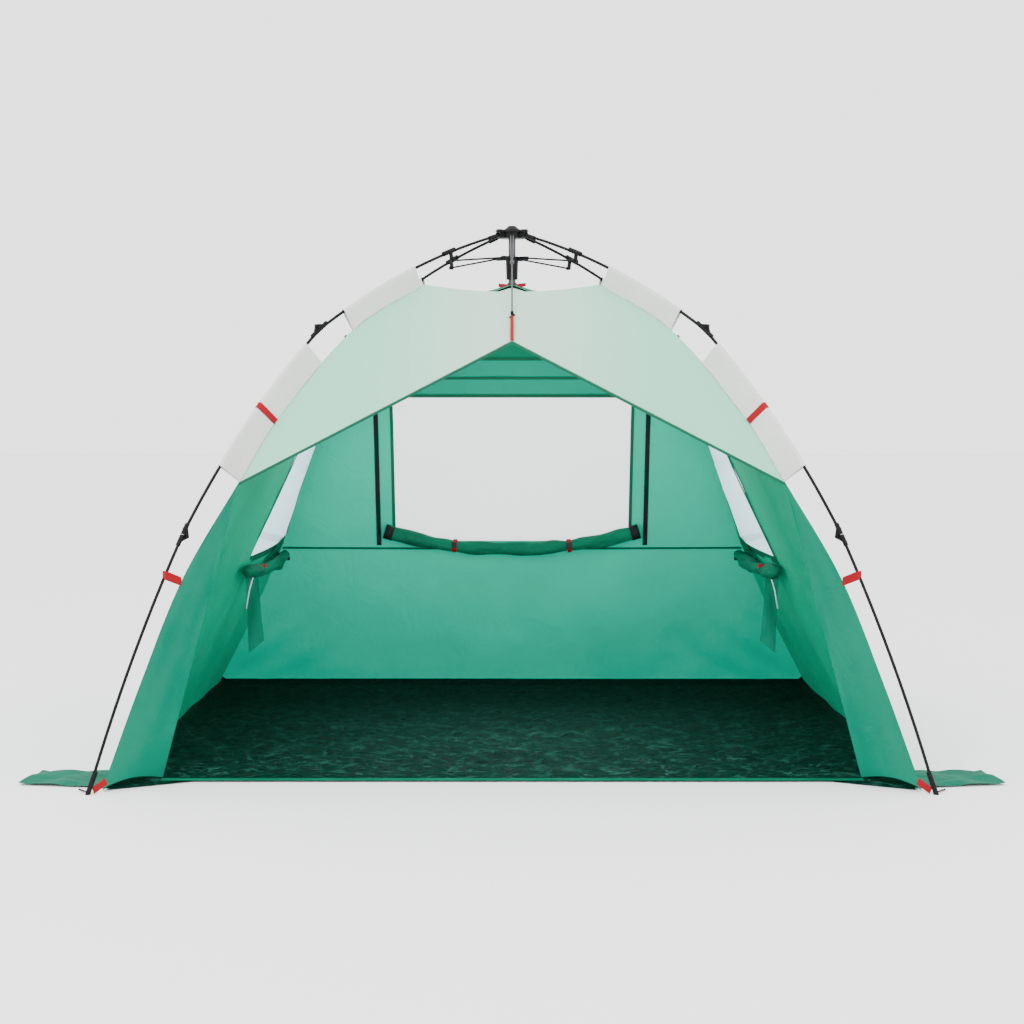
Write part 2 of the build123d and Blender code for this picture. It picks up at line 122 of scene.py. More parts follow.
# Hanger
CORD_TOP = (0, -0.0415, 1.664)
CORD_END = (0, -0.470, 1.389)
CORD_R = 0.0026
HOOK_BEND_R = 0.008

# How each cloth body gathers: the joint that folds the tent, and the direction that closes up
GATHER = {
    "left_wall": ("left_wall_gather", (0, 1, 0)),
    "right_wall": ("right_wall_gather", (0, 1, 0)),
    "rear_wall": ("rear_wall_gather", (1, 0, 0)),
    "front_canopy": ("front_canopy_gather", (1, 0, 0)),
    "groundsheet_left": ("groundsheet_left_gather", (0, 1, 0)),
    "groundsheet_right": ("groundsheet_right_gather", (0, 1, 0)),
    "zip_slider_left": ("rear_wall_gather", (1, 0, 0)),
    "zip_slider_right": ("rear_wall_gather", (1, 0, 0)),
}


# ---------------------------------------------------------------- camera, floor and light

# Fitted to the photograph: the tilt is in degrees below level
CAMERA_PLACE = (0, -6.08, 1.128)
CAMERA_TILT = 3.635
CAMERA_LENS = 63.4
FLOOR_HALF = 30


def add_camera():
    data = bpy.data.cameras.new("camera")
    data.sensor_width = 36
    data.lens = CAMERA_LENS
    camera = bpy.data.objects.new("camera", data)
    camera.location = CAMERA_PLACE
    camera.rotation_euler = (radians(90 - CAMERA_TILT), 0, 0)
    bpy.context.scene.collection.objects.link(camera)
    bpy.context.scene.camera = camera


def add_floor():
    mesh = bpy.data.meshes.new("floor")
    corners = [(x * FLOOR_HALF, y * FLOOR_HALF, 0) for x, y in ((-1, -1), (1, -1), (1, 1), (-1, 1))]
    mesh.from_pydata(corners, [], [(0, 1, 2, 3)])
    floor = bpy.data.objects.new("floor", mesh)
    floor.location.z = -0.001
    mesh.materials.append(plain("floor_white", (0.95, 0.95, 0.95), 0.9))
    bpy.context.scene.collection.objects.link(floor)


def add_light(name, place, aim, size, power):
    """A round soft light that the camera doesn't see: its diameter in metres, and its power in watts."""
    data = bpy.data.lights.new(name, "AREA")
    data.shape = "DISK"
    data.size = size
    data.energy = power
    light = bpy.data.objects.new(name, data)
    light.location = place
    light.rotation_euler = (Vector(aim) - Vector(place)).to_track_quat("-Z", "Y").to_euler()
    light.visible_camera = False
    bpy.context.scene.collection.objects.link(light)


def add_world():
    world = bpy.data.worlds.new("studio")
    world.use_nodes = True
    background = world.node_tree.nodes["Background"]
    background.inputs["Color"].default_value = (1, 1, 1, 1)
    background.inputs["Strength"].default_value = 2.6
    bpy.context.scene.world = world


# ---------------------------------------------------------------- materials

def plain(name, colour, roughness, gloss=0.2):
    """A bare Principled material, which the others build on."""
    material = bpy.data.materials.new(name)
    material.use_nodes = True
    shader = material.node_tree.nodes["Principled BSDF"]
    shader.inputs["Specular IOR Level"].default_value = gloss
    shader.inputs["Base Color"].default_value = (*colour, 1)
    shader.inputs["Roughness"].default_value = roughness
    return material


def node(tree, kind, **values):
    """A new node with the given values on its inputs."""
    made = tree.nodes.new(kind)
    for name, value in values.items():
        made.inputs[name].default_value = value
    return made


def mixed(tree, factor, first, second):
    """The colour between two, by a factor that another node gives."""
    mix = tree.nodes.new("ShaderNodeMix")
    mix.data_type = "RGBA"
    tree.links.new(factor, mix.inputs["Factor"])
    mix.inputs["A"].default_value = (*first, 1)
    mix.inputs["B"].default_value = (*second, 1)
    return mix.outputs["Result"]


def woven(name, light, dark, roughness=0.62, sheen=0.06, crease=0.5, crease_size=9, glow=0.0, gloss=0.2):
    """Cloth: a fine weave, creases, and a colour that drifts between two shades.

    glow is a little emission, which stands for the daylight that comes through thin cloth.
    """
    material = plain(name, light, roughness, gloss)
    tree = material.node_tree
    shader = tree.nodes["Principled BSDF"]
    shader.inputs["Sheen Weight"].default_value = sheen
    shader.inputs["Sheen Roughness"].default_value = 0.4
    shader.inputs["Sheen Tint"].default_value = (*light, 1)
    place = tree.nodes.new("ShaderNodeTexCoord").outputs["Object"]
    drift = node(tree, "ShaderNodeTexNoise", Scale=3.5, Detail=4.0, Roughness=0.55)
    fold = node(tree, "ShaderNodeTexNoise", Scale=crease_size, Detail=6.0, Roughness=0.6, Distortion=0.8)
    warp = node(tree, "ShaderNodeTexWave", Scale=320.0)
    weft = node(tree, "ShaderNodeTexWave", Scale=320.0)
    weft.bands_direction = "Z"
    for texture in (drift, fold, warp, weft):
        tree.links.new(place, texture.inputs["Vector"])
    ramp = tree.nodes.new("ShaderNodeMapRange")
    ramp.inputs["From Min"].default_value = 0.35
    ramp.inputs["From Max"].default_value = 0.65
    tree.links.new(drift.outputs["Fac"], ramp.inputs["Value"])
    colour = mixed(tree, ramp.outputs["Result"], light, dark)
    tree.links.new(colour, shader.inputs["Base Color"])
    if glow:
        tree.links.new(colour, shader.inputs["Emission Color"])
        shader.inputs["Emission Strength"].default_value = glow
    threads = tree.nodes.new("ShaderNodeMath")
    threads.operation = "MAXIMUM"
    tree.links.new(warp.outputs["Fac"], threads.inputs[0])
    tree.links.new(weft.outputs["Fac"], threads.inputs[1])
    weave = node(tree, "ShaderNodeBump", Strength=0.12, Distance=0.0006)
    creased = node(tree, "ShaderNodeBump", Strength=crease, Distance=0.012)
    tree.links.new(threads.outputs[0], weave.inputs["Height"])
    tree.links.new(fold.outputs["Fac"], creased.inputs["Height"])
    tree.links.new(weave.outputs["Normal"], creased.inputs["Normal"])
    tree.links.new(creased.outputs["Normal"], shader.inputs["Normal"])
    return material


MINT = (0.225, 0.55, 0.40)
GREY_MINT = (0.39, 0.565, 0.462)


def pale_panel_material():
    """The coated front panel: mint at the sides, and greyer at the middle. Its colour also glows a little:
    painted daylight through the cloth.
    """
    material = woven("pale_cloth", MINT, (0.205, 0.52, 0.375), crease=0.22, crease_size=5, glow=0.10)
    tree = material.node_tree
    shader = tree.nodes["Principled BSDF"]
    place = tree.nodes.new("ShaderNodeTexCoord").outputs["Object"]
    split = tree.nodes.new("ShaderNodeSeparateXYZ")
    tree.links.new(place, split.inputs[0])
    width = tree.nodes.new("ShaderNodeMath")
    width.operation = "ABSOLUTE"
    tree.links.new(split.outputs["X"], width.inputs[0])
    ramp = tree.nodes.new("ShaderNodeMapRange")
    ramp.interpolation_type = "SMOOTHSTEP"
    ramp.inputs["From Min"].default_value = 0.0
    ramp.inputs["From Max"].default_value = 0.5
    tree.links.new(width.outputs[0], ramp.inputs["Value"])
    colour = mixed(tree, ramp.outputs["Result"], GREY_MINT, MINT)
    tree.links.new(colour, shader.inputs["Base Color"])
    tree.links.new(colour, shader.inputs["Emission Color"])
    return material


def crinkled_sheet_material():
    """Dark green coated groundsheet with glossy crinkles whose crests carry a painted highlight. Toward the
    rear wall it darkens to near black as painted shade, and grows duller.
    """
    material = plain("groundsheet_cloth", (0.002, 0.032, 0.022), 0.30, 0.45)
    tree = material.node_tree
    shader = tree.nodes["Principled BSDF"]
    # The green tint on the gloss is a painted reflection of the green walls.
    shader.inputs["Specular Tint"].default_value = (0.25, 1.0, 0.72, 1)
    place = tree.nodes.new("ShaderNodeTexCoord").outputs["Object"]
    stretch = tree.nodes.new("ShaderNodeMapping")
    stretch.inputs["Scale"].default_value = (0.7, 1.2, 1.0)
    tree.links.new(place, stretch.inputs["Vector"])
    fine = node(tree, "ShaderNodeTexNoise", Scale=30.0, Detail=9.0, Roughness=0.7, Distortion=1.8)
    patch = node(tree, "ShaderNodeTexNoise", Scale=2.0, Detail=3.0)
    ridge = node(tree, "ShaderNodeTexVoronoi", Scale=13.0)
    ridge.feature = "DISTANCE_TO_EDGE"
    for texture in (fine, patch):
        tree.links.new(stretch.outputs["Vector"], texture.inputs["Vector"])
    warped = tree.nodes.new("ShaderNodeVectorMath")
    warped.operation = "MULTIPLY_ADD"
    warped.inputs[1].default_value = (0.35, 0.35, 0.35)
    tree.links.new(fine.outputs["Color"], warped.inputs[0])
    tree.links.new(stretch.outputs["Vector"], warped.inputs[2])
    tree.links.new(warped.outputs[0], ridge.inputs["Vector"])
    split = tree.nodes.new("ShaderNodeSeparateXYZ")
    tree.links.new(place, split.inputs[0])
    depth = tree.nodes.new("ShaderNodeMapRange")
    depth.inputs["From Min"].default_value = -0.80
    depth.inputs["From Max"].default_value = 0.55
    tree.links.new(split.outputs["Y"], depth.inputs["Value"])
    rough = tree.nodes.new("ShaderNodeMapRange")
    rough.inputs["To Min"].default_value = 0.24
    rough.inputs["To Max"].default_value = 0.75
    tree.links.new(depth.outputs["Result"], rough.inputs["Value"])
    tree.links.new(rough.outputs["Result"], shader.inputs["Roughness"])
    crinkle = node(tree, "ShaderNodeTexNoise", Scale=17.0, Detail=6.0, Roughness=0.6, Distortion=0.5)
    crinkle.noise_type = "RIDGED_MULTIFRACTAL"
    crinkle.inputs["Offset"].default_value = 0.9
    crinkle.inputs["Gain"].default_value = 2.0
    tree.links.new(stretch.outputs["Vector"], crinkle.inputs["Vector"])
    crest = tree.nodes.new("ShaderNodeMapRange")
    crest.inputs["From Min"].default_value = 1.20
    crest.inputs["From Max"].default_value = 1.80
    tree.links.new(crinkle.outputs["Fac"], crest.inputs["Value"])
    valley = mixed(tree, patch.outputs["Fac"], (0.0, 0.012, 0.0075), (0.0, 0.038, 0.024))
    # Where the crinkles crest, the colour turns bright grey-green: a painted highlight.
    near = mixed(tree, crest.outputs["Result"], (0, 0, 0), (0.045, 0.23, 0.18))
    tree.links.new(valley, near.node.inputs["A"])
    # Toward the rear wall the colour fades to near black: painted shade.
    far = tree.nodes.new("ShaderNodeMix")
    far.data_type = "RGBA"
    tree.links.new(depth.outputs["Result"], far.inputs["Factor"])
    tree.links.new(near, far.inputs["A"])
    far.inputs["B"].default_value = (0.0, 0.0008, 0.0004, 1)
    tree.links.new(far.outputs["Result"], shader.inputs["Base Color"])
    small = node(tree, "ShaderNodeBump", Strength=1.0, Distance=0.020)
    large = node(tree, "ShaderNodeBump", Strength=1.0, Distance=0.030)
    tree.links.new(crinkle.outputs["Fac"], small.inputs["Height"])
    tree.links.new(ridge.outputs["Distance"], large.inputs["Height"])
    tree.links.new(small.outputs["Normal"], large.inputs["Normal"])
    tree.links.new(large.outputs["Normal"], shader.inputs["Normal"])
    return material


def mesh_material(name, colour, cover, glow):
    """Fine insect mesh: pale threads both ways. cover is how much of what is behind it they hide, and glow is
    emission in the threads' colour: painted daylight through the mesh.
    """
    material = plain(name, colour, 0.8)
    tree = material.node_tree
    shader = tree.nodes["Principled BSDF"]
    place = tree.nodes.new("ShaderNodeTexCoord").outputs["Object"]
    first = node(tree, "ShaderNodeTexWave", Scale=180.0)
    second = node(tree, "ShaderNodeTexWave", Scale=180.0)
    second.bands_direction = "Z"
    threads = tree.nodes.new("ShaderNodeMath")
    threads.operation = "MAXIMUM"
    for texture, socket in ((first, 0), (second, 1)):
        tree.links.new(place, texture.inputs["Vector"])
        tree.links.new(texture.outputs["Fac"], threads.inputs[socket])
    shade = tuple(0.93 * c for c in colour)
    colour_out = mixed(tree, threads.outputs[0], shade, colour)
    tree.links.new(colour_out, shader.inputs["Base Color"])
    tree.links.new(colour_out, shader.inputs["Emission Color"])
    shader.inputs["Emission Strength"].default_value = glow
    shader.inputs["Alpha"].default_value = cover
    bump = node(tree, "ShaderNodeBump", Strength=0.15, Distance=0.0008)
    tree.links.new(threads.outputs[0], bump.inputs["Height"])
    tree.links.new(bump.outputs["Normal"], shader.inputs["Normal"])
    return material


def moulded(name, colour, roughness, grain, metallic=0.0):
    """Moulded plastic or coated metal: a fine grain and worn, smoother patches."""
    material = plain(name, colour, roughness, 0.12)
    tree = material.node_tree
    shader = tree.nodes["Principled BSDF"]
    shader.inputs["Metallic"].default_value = metallic
    place = tree.nodes.new("ShaderNodeTexCoord").outputs["Object"]
    spark = node(tree, "ShaderNodeTexNoise", Scale=grain, Detail=3.0)
    wear = node(tree, "ShaderNodeTexNoise", Scale=18.0, Detail=5.0)
    for texture in (spark, wear):
        tree.links.new(place, texture.inputs["Vector"])
    gloss = tree.nodes.new("ShaderNodeMapRange")
    gloss.inputs["To Min"].default_value = roughness - 0.10
    gloss.inputs["To Max"].default_value = roughness + 0.12
    tree.links.new(wear.outputs["Fac"], gloss.inputs["Value"])
    tree.links.new(gloss.outputs["Result"], shader.inputs["Roughness"])
    tint = mixed(tree, wear.outputs["Fac"], colour, tuple(c * 1.5 for c in colour))
    tree.links.new(tint, shader.inputs["Base Color"])
    bump = node(tree, "ShaderNodeBump", Strength=0.18, Distance=0.0006)
    tree.links.new(spark.outputs["Fac"], bump.inputs["Height"])
    tree.links.new(bump.outputs["Normal"], shader.inputs["Normal"])
    return material


def webbing(name, colour):
    """Woven tape: a stronger sheen than the cloth's, and hardly creased."""
    return woven(name, colour, tuple(0.82 * c for c in colour), roughness=0.7, sheen=0.3, crease=0.1)


MATERIALS = {}


def make_materials():
    MATERIALS.update(
        # One green fabric in several copies: green, side, the rear wall's cloth, ceiling, roof, roll and flap
        # differ in colour and glow only for the light each place gets. Their lighter and darker colours are
        # painted light and shade, and their glows are painted daylight through the cloth.
        green=woven(
            "green_cloth", (0.0, 0.158, 0.094), (0.0, 0.14, 0.083),
            sheen=0.03, crease=0.35, glow=0.05, gloss=0.10,
        ),
        side=woven(
            "green_side_cloth", (0.0, 0.27, 0.146), (0.0, 0.235, 0.125), sheen=0.03, glow=0.30, gloss=0.12
        ),
        # The rear wall's cloth: the same green fabric, whose strong glow is painted daylight through the rear
        # wall.
        lining=woven(
            "green_lining", (0.0, 0.32, 0.205), (0.0, 0.29, 0.185), crease=0.4, glow=0.62, gloss=0.15
        ),
        ceiling=woven(
            "green_ceiling", (0.0, 0.25, 0.158), (0.0, 0.23, 0.145), crease=0.3, glow=0.10, gloss=0.10
        ),
        roof=woven("green_roof", (0.0, 0.16, 0.082), (0.0, 0.14, 0.072), crease=0.3, gloss=0.10),
        hem=woven("green_hem", (0.0, 0.085, 0.044), (0.0, 0.07, 0.036), crease=0.15),
        roll=woven(
            "green_rolled", (0.0, 0.125, 0.063), (0.0, 0.085, 0.043), crease=0.8, crease_size=24, gloss=0.10
        ),
        flap=woven("green_flap", (0.0, 0.125, 0.075), (0.0, 0.10, 0.06), sheen=0.0, crease=0.6, gloss=0.04),
        # The white sleeves' faint glow is painted daylight through the cloth.
        white=woven(
            "white_cloth", (0.60, 0.61, 0.585), (0.55, 0.56, 0.535), crease=0.3, crease_size=14, glow=0.03
        ),
        pale=pale_panel_material(),
        floor=crinkled_sheet_material(),
        # The mesh glows are painted daylight through the windows; the side windows' pale blue, with their
        # strong glow, is painted light coming through the mesh.
        mesh=mesh_material("mesh_cloth", (0.79, 0.815, 0.83), 0.5, 0.5),
        side_mesh=mesh_material("side_mesh_cloth", (0.50, 0.74, 0.86), 0.85, 1.1),
        red=webbing("red_webbing", (0.27, 0.0005, 0.006)),
        black_tape=webbing("black_tape", (0.005, 0.005, 0.006)),
        cord=webbing("cord", (0.085, 0.085, 0.09)),
        moulding=moulded("moulding", (0.003, 0.003, 0.0035), 0.42, 900),
        pole=moulded("pole", (0.003, 0.003, 0.0035), 0.38, 1500),
        post=moulded("steel_post", (0.05, 0.05, 0.055), 0.36, 700, 0.6),
        spring=moulded("spring_steel", (0.5, 0.5, 0.5), 0.3, 700, 1.0),
    )


# ---------------------------------------------------------------- shapes

def curve_at(points, z):
    """The seam's distance from the hub axis at a height, on a smooth curve through its points."""
    last = len(points) - 1
    for i in range(last):
        (r0, z0), (r1, z1) = points[i], points[i + 1]
        if z >= z1 or i == last - 1:
            t = min(max((z0 - z) / (z0 - z1), 0), 1.05)
            before = points[max(i - 1, 0)]
            after = points[min(i + 2, last)]
            m0 = (r1 - before[0]) / (before[1] - z1) * (z0 - z1)
            m1 = (after[0] - r0) / (z0 - after[1]) * (z0 - z1)
            a = 2 * t**3 - 3 * t**2 + 1
            b = t**3 - 2 * t**2 + t
            c = -2 * t**3 + 3 * t**2
            d = t**3 - t**2
            return a * r0 + b * m0 + c * r1 + d * m1
    return points[-1][0]


def swell(z):
    """How much of its sag a wall has at a height: none at the ground and the roof, all midway."""
    return sin(pi * min(max(z / RIDGE_Z, 0), 1))


def ridge(v):
    """The roof's highest line: it rises to the tie at the post and to the seams, and dips between."""
    dip = RIDGE_DIP * sin(pi * min(abs(v) ** 0.7, 1)) ** 2
    return (COS_LEG * FRONT_SEAM[0][0] * v, 0.0, RIDGE_Z + 0.005 * (1 - abs(v)) - dip)


def lerp(a, b, t):
    return tuple(p + (q - p) * t for p, q in zip(a, b))


def steps(start, end, count):
    return [start + (end - start) * i / (count - 1) for i in range(count)]


def side_wall(side, z, v):
    """A side wall: v from the front seam, 0, to the rear seam, 1."""
    front = curve_at(FRONT_SEAM, z)
    rear = curve_at(REAR_SEAM, z)
    sag = WALL_SAG * swell(z) * 4 * v * (1 - v)
    x = COS_LEG * (front * (1 - v) + rear * v) - sag
    y = SIN_LEG * (rear * v - front * (1 - v))
    return (side * x, y, z)


def rear_wall(z, v):
    """The rear wall: v from the left seam, -1, to the right seam, 1."""
    rear = curve_at(REAR_SEAM, z)
    return (COS_LEG * rear * v, SIN_LEG * rear - REAR_SAG * swell(z) * (1 - v * v), z)


def rear_share(x, z):
    """The share across the rear wall that lies at a distance from the middle."""
    return x / (COS_LEG * curve_at(REAR_SEAM, z))


def front_panel(u, v):
    """The pale panel: u from the roof, 0, to the doorway's edge, 1; v from the left seam to the right."""
    top_r, top_z = FRONT_SEAM[0]
    side = (COS_LEG * top_r, -SIN_LEG * top_r, top_z)
    w = abs(v)
    top = (
        side[0] * w,
        ROOF_FRONT[1] + (side[1] - ROOF_FRONT[1]) * w**2,
        ROOF_FRONT[2] + (side[2] - ROOF_FRONT[2]) * w**2,
    )
    low = lerp(PEAK, DOOR_APEX, w)
    x, y, z = lerp(top, low, u)
    edge = lerp(side, DOOR_APEX, u)
    r = curve_at(FRONT_SEAM, edge[2])
    x += (COS_LEG * r - edge[0]) * w**2
    y += (-SIN_LEG * r - edge[1]) * w**2
    return (x if v > 0 else -x, y, z)


def wing(side, t, s):
    """The front wing: t from the doorway's top corner to the ground; s from the seam to the doorway."""
    inner = lerp(DOOR_APEX, DOOR_BASE, t)
    r = curve_at(FRONT_SEAM, inner[2])
    seam = (COS_LEG * r, -SIN_LEG * r, inner[2])
    x, y, z = lerp(seam, inner, s)
    z += 0.016 * sin(pi * s) * t**8
    return (side * x, y, z)


def quads(rows, columns, skip=None):
    """The faces of a grid of points, stored row by row."""
    faces = []
    for i in range(rows - 1):
        for j in range(columns - 1):
            if skip and skip(i, j):
                continue
            a = i * columns + j
            faces.append((a, a + 1, a + columns + 1, a + columns))
    return faces


def ring_quads(rings, around):
    """The faces between rings of points, each ring closed."""
    faces = []
    for i in range(rings - 1):
        for k in range(around):
            a = i * around + k
            b = i * around + (k + 1) % around
            faces.append((a, b, b + around, a + around))
    return faces


def heading(path, i):
    """The direction of a path of points at one of them."""
    return (path[min(i + 1, len(path) - 1)] - path[max(i - 1, 0)]).normalized()


def mesh_object(name, points, faces, material, smooth=True):
    mesh = bpy.data.meshes.new(name)
    mesh.from_pydata(points, [], faces)
    mesh.update()
    made = bpy.data.objects.new(name, mesh)
    mesh.materials.append(MATERIALS[material])
    if smooth:
        mesh.shade_smooth()
    bpy.context.scene.collection.objects.link(made)
    return made


def folds(p, depth, size):
    """A soft irregular wave over the cloth, the same on each run."""
    return depth * (noise.noise(Vector(p) * size) + 0.5 * noise.noise(Vector(p) * size * 2.3))


FADE_ROWS = 3


def surface(name, shape, us, vs, material, skip=None, depth=0.0, size=4.0, lift=0.0, pull=None):
    """A sheet over a grid of us by vs.

    depth and size are those of its soft folds, and pull adds folds of its own; both fade out at the
    edges. lift moves the sheet along its normal, and skip leaves faces out.
    """
    grid = [[Vector(shape(u, v)) for v in vs] for u in us]
    points = []
    for i, row in enumerate(grid):
        for j, p in enumerate(row):
            along = row[min(j + 1, len(row) - 1)] - row[max(j - 1, 0)]
            down = grid[min(i + 1, len(grid) - 1)][j] - grid[max(i - 1, 0)][j]
            normal = along.cross(down)
            normal.normalize()
            edge = min(i, j, len(grid) - 1 - i, len(row) - 1 - j)
            fade = min(edge / FADE_ROWS, 1)
            move = lift + (folds(p, depth, size) * fade if depth else 0)
            if pull:
                move += pull(us[i], vs[j]) * fade
            points.append(p + normal * move)
    return mesh_object(name, points, quads(len(us), len(vs), skip), material)


def attach(piece, body):
    """A soft piece rides on its body, and gets a mesh of its own where the body gathers."""
    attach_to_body(piece, body)
    if body in GATHER:
        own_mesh(piece)


def tube(name, path, radius, material, around=12, bumps=0.0):
    """A closed tube along points; radius is a number or a function of the share along it."""
    path = [Vector(p) for p in path]
    points = []
    for i, p in enumerate(path):
        ahead = heading(path, i)
        across = ahead.cross(Vector((0, 0, 1)))
        if across.length < 0.05:
            across = ahead.cross(Vector((0, 1, 0)))
        across.normalize()
        up = across.cross(ahead)
        r = radius(i / (len(path) - 1)) if callable(radius) else radius
        for k in range(around):
            turn = 2 * pi * k / around
            swellings = 1 + bumps * noise.noise(Vector((p.x * 14 + p.y * 9, turn * 1.3, p.z * 8)))
            points.append(p + (across * cos(turn) + up * sin(turn)) * r * swellings)
    faces = ring_quads(len(path), around)
    faces.append(tuple(range(around))[::-1])
    faces.append(tuple(range(len(points) - around, len(points))))
    return mesh_object(name, points, faces, material)


def strap(name, path, width, across, thickness, material):
    """A flat tape along points, wide along a fixed direction."""
    path = [Vector(p) for p in path]
    wide = Vector(across).normalized() * (width / 2)
    points = []
    for i, p in enumerate(path):
        out = heading(path, i).cross(wide).normalized() * (thickness / 2)
        points += [p - wide - out, p + wide - out, p + wide + out, p - wide + out]
    faces = [(3, 2, 1, 0)] + ring_quads(len(path), 4)
    faces.append(tuple(range(len(points) - 4, len(points))))
    return mesh_object(name, points, faces, material, smooth=False)


def block(name, centre, size, material, bevel=0.001):
    """A small moulded piece with rounded edges."""
    x, y, z = (s / 2 for s in size)
    cx, cy, cz = centre
    points = [(cx + i * x, cy + j * y, cz + k * z) for i in (-1, 1) for j in (-1, 1) for k in (-1, 1)]
    faces = [(0, 1, 3, 2), (4, 6, 7, 5), (0, 4, 5, 1), (2, 3, 7, 6), (0, 2, 6, 4), (1, 5, 7, 3)]
    made = mesh_object(name, points, faces, material, smooth=False)
    rounding = made.modifiers.new("rounded", "BEVEL")
    rounding.width = bevel
    rounding.segments = 3
    return made


# ---------------------------------------------------------------- hard parts

def dress_frame():
    """Each CAD node gets its finish. The cloth ones are hidden by the pieces that replace them."""
    for name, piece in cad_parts.items():
        if name.startswith(("upper_pole", "middle_pole", "lower_pole")):
            finish = "pole"
        elif name == "centre_post":
            finish = "post"
        elif name == "lock_spring":
            finish = "spring"
        else:
            finish = "moulding"
        if not piece.material_slots:
            piece.data.materials.append(MATERIALS[finish])
        for slot in piece.material_slots:
            slot.material = MATERIALS[finish]


# ---------------------------------------------------------------- legs: sleeves, bands and straps

def seam_of(corner):
    return FRONT_SEAM if corner.startswith("front") else REAR_SEAM


def leg_point(corner, r, z, side=0.0):
    """A point at a distance from the hub axis and a height in a leg's plane, or to one side of it."""
    sx, sy = CORNERS[corner]
    return Vector((sx * COS_LEG * r - sy * SIN_LEG * side, sy * SIN_LEG * r + sx * COS_LEG * side, z))


def arc_at(arc, t):
    """A point on the circle through a pole's start, bow and end, and the direction outward there."""
    (x0, y0), (x1, y1), (x2, y2) = arc
    d = 2 * (x0 * (y1 - y2) + x1 * (y2 - y0) + x2 * (y0 - y1))
    s0, s1, s2 = x0**2 + y0**2, x1**2 + y1**2, x2**2 + y2**2
    cx = (s0 * (y1 - y2) + s1 * (y2 - y0) + s2 * (y0 - y1)) / d
    cy = (s0 * (x2 - x1) + s1 * (x0 - x2) + s2 * (x1 - x0)) / d
    start = atan2(y0 - cy, x0 - cx)
    end = atan2(y2 - cy, x2 - cx)
    radius = hypot(x0 - cx, y0 - cy)
    turn = start + (end - start) * t
    return (cx + radius * cos(turn), cy + radius * sin(turn)), (cos(turn), sin(turn))


def seam_below(seam, point, outward):
    """How far below a pole point the corner seam passes, square to the pole."""
    best = 0.05
    least = 1.0
    for d in [0.02 + 0.12 * k / 79 for k in range(80)]:
        r = point[0] - outward[0] * d
        z = point[1] - outward[1] * d
        miss = abs(curve_at(seam, z) - r)
        if miss < least:
            least = miss
            best = d
    return best


def wrap(name, corner, arc, span, material, grow=0.0, rows=26):
    """Cloth that goes over a pole and down to the seam on both sides, along a span of the pole."""
    points = []
    over = POLE_R + SLEEVE_GAP + grow
    turn_steps = 9
    for t in steps(*span, rows):
        centre, out = arc_at(arc, t)
        depth = seam_below(seam_of(corner), centre, out)
        flat = [(d, 0.0035 + 0.004 * (1 + d / depth) + grow) for d in steps(-depth, -0.008, 7)]
        outline = [(d, -side) for d, side in flat]
        for k in range(turn_steps):
            angle = -pi / 2 + pi * k / (turn_steps - 1)
            outline.append((over * cos(angle), over * sin(angle)))
        outline += flat[::-1]
        for d, side in outline:
            r = centre[0] + out[0] * d
            z = centre[1] + out[1] * d
            ripple = 0.0016 * noise.noise(Vector((r * 22, z * 22, d * 30)))
            points.append(leg_point(corner, r, z, side + ripple))
    return mesh_object(name, points, quads(rows, len(points) // rows), material)


def fold_sleeve(piece, body):
    """The sleeve rides on its leg, with a mesh of its own."""
    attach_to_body(piece, body)
    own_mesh(piece)


def add_sleeves():
    for corner in CORNERS:
        for part, arc, span, flat in (
            ("upper", UPPER_POLE, UPPER_SLEEVE, (0.28, 0.20)),
            ("middle", MIDDLE_POLE, MIDDLE_SLEEVE, (0.44, 0.26)),
        ):
            sleeve = wrap(f"{part}_sleeve_cloth_{corner}", corner, arc, span, "white")
            fold_sleeve(sleeve, f"{part}_leg_{corner}")
            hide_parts(f"{part}_sleeve_{corner}")
        band = wrap(f"sleeve_band_{corner}", corner, MIDDLE_POLE, SLEEVE_BAND, "red", grow=0.0016, rows=5)
        fold_sleeve(band, f"middle_leg_{corner}")


def add_lower_straps():
    """The red tape that holds the canopy seam to each lower pole, and the one at each foot."""
    for corner in CORNERS:
        seam = seam_of(corner)
        (r, z), _ = arc_at(LOWER_POLE, STRAP_SHARE)
        path = [leg_point(corner, r + 0.007 * cos(pi * k), z, 0.007 * sin(pi * k)) for k in steps(-0.5, 0.5, 9)]
        low = z - 0.022
        front = leg_point(corner, curve_at(seam, low), low, -0.002)
        back = leg_point(corner, curve_at(seam, low), low, 0.002)
        piece = strap(f"lower_strap_{corner}", [front] + path + [back], 0.026, (0, 0, 1), 0.0014, "red")
        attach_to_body(piece, f"lower_leg_{corner}")
        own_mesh(piece)
        low = leg_point(corner, curve_at(seam, 0.026) - 0.006, 0.030)
        high = leg_point(corner, FOOT[0] - 0.010, FOOT[1] - 0.004)
        across = leg_point(corner, 0.35, 0.9)
        tie = strap(f"foot_strap_{corner}", [low, lerp(low, high, 0.5), high], 0.020, across, 0.0016, "red")
        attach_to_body(tie, f"lower_leg_{corner}")


# ---------------------------------------------------------------- canopy

# The binding of the doorway's edge, and the side windows' hems: how far they lap over the edges, in
# metres and as a share of the wall, and how far they stand inward of the wall
BINDING_WIDTH = 0.011
HEM_LAP = 0.012
HEM_V = 0.016
HEM_IN = 0.002


def add_front_canopy():
    rows = steps(0, 1, 34)
    columns = steps(-1, 1, 81)
    panel = surface("front_canopy_cloth", front_panel, rows, columns, "pale", depth=0.004, size=3.2)

    def roof(u, v):
        return lerp(ridge(v), front_panel(0, v), u)

    top = surface("front_roof_cloth", roof, steps(0, 1, 9), columns, "pale", depth=0.003)
    binding = surface(
        "door_binding",
        lambda u, v: tuple(Vector(front_panel(1, v)) + Vector((0, 0, -BINDING_WIDTH * (u - 0.15)))),
        steps(0, 1, 3), columns, "hem", lift=0.0012,
    )
    for piece in (panel, top, binding):
        attach(piece, "front_canopy")
    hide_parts("front_canopy")


